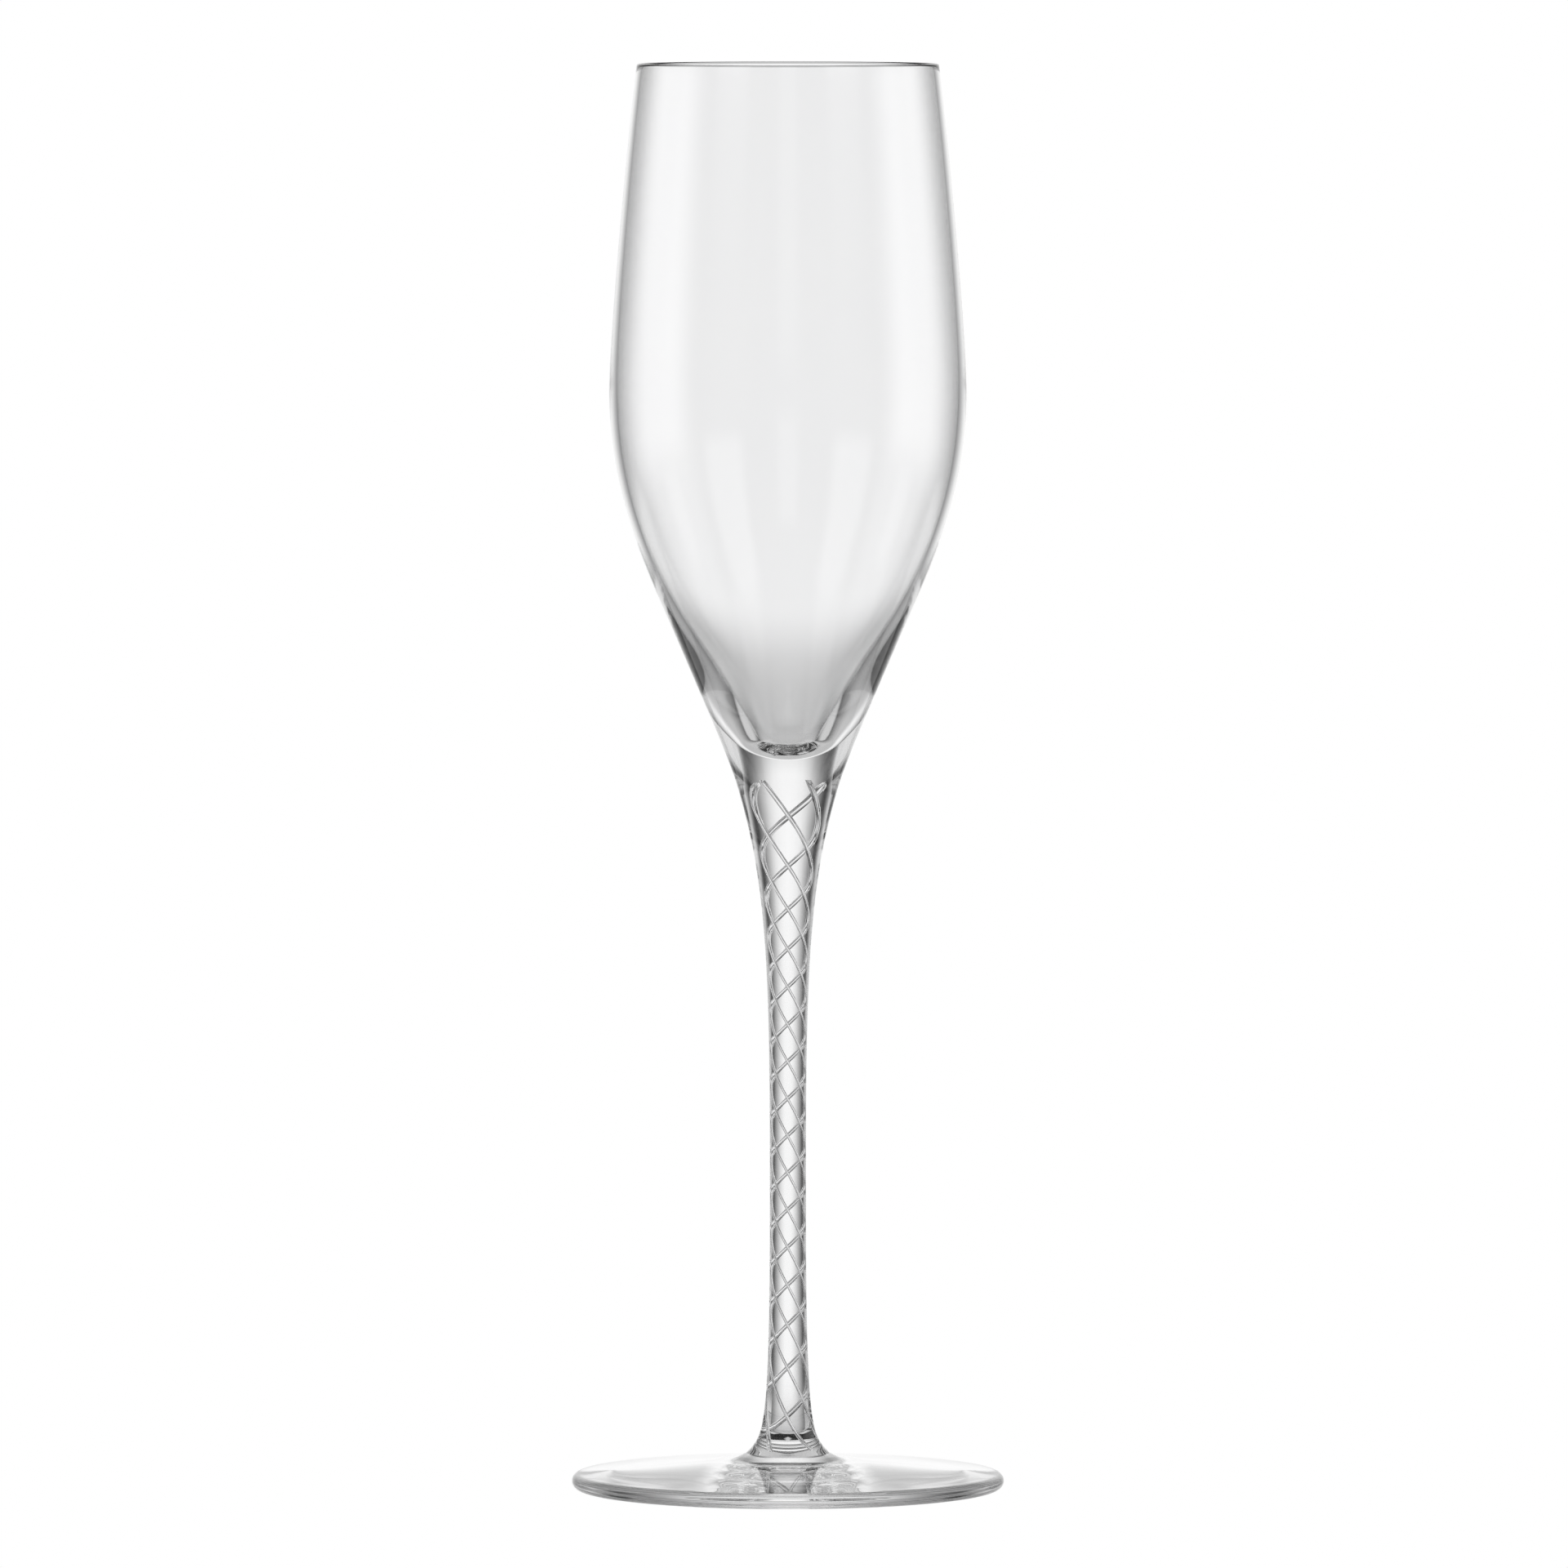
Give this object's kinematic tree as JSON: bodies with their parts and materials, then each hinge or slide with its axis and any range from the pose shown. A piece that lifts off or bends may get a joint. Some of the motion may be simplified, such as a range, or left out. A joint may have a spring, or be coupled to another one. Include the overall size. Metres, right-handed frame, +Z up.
{
  "type": "champagne flute",
  "caption": "Tall clear-glass champagne flute: tapered bowl with a thick round bottom, slim stem with a left-hand air twist, and a thin round foot.",
  "frame": {"origin": "centre of the ring that the foot stands on", "axes": "+Z up the stem to the rim, -Y towards the viewer and +X to the viewer's right; the outside is round, so only the air twist has a direction about Z"},
  "size_m": [0.0774, 0.0774, 0.255],
  "materials": {
    "clear_glass": "fire-polished, colourless and very clear",
    "core_glass": "colourless, with four bright twisted air threads at its surface"
  },
  "bodies": {
    "root": {"bowl": "clear_glass", "stem_core": "core_glass", "stem_casing": "clear_glass", "foot": "clear_glass"}
  },
  "joints": []
}
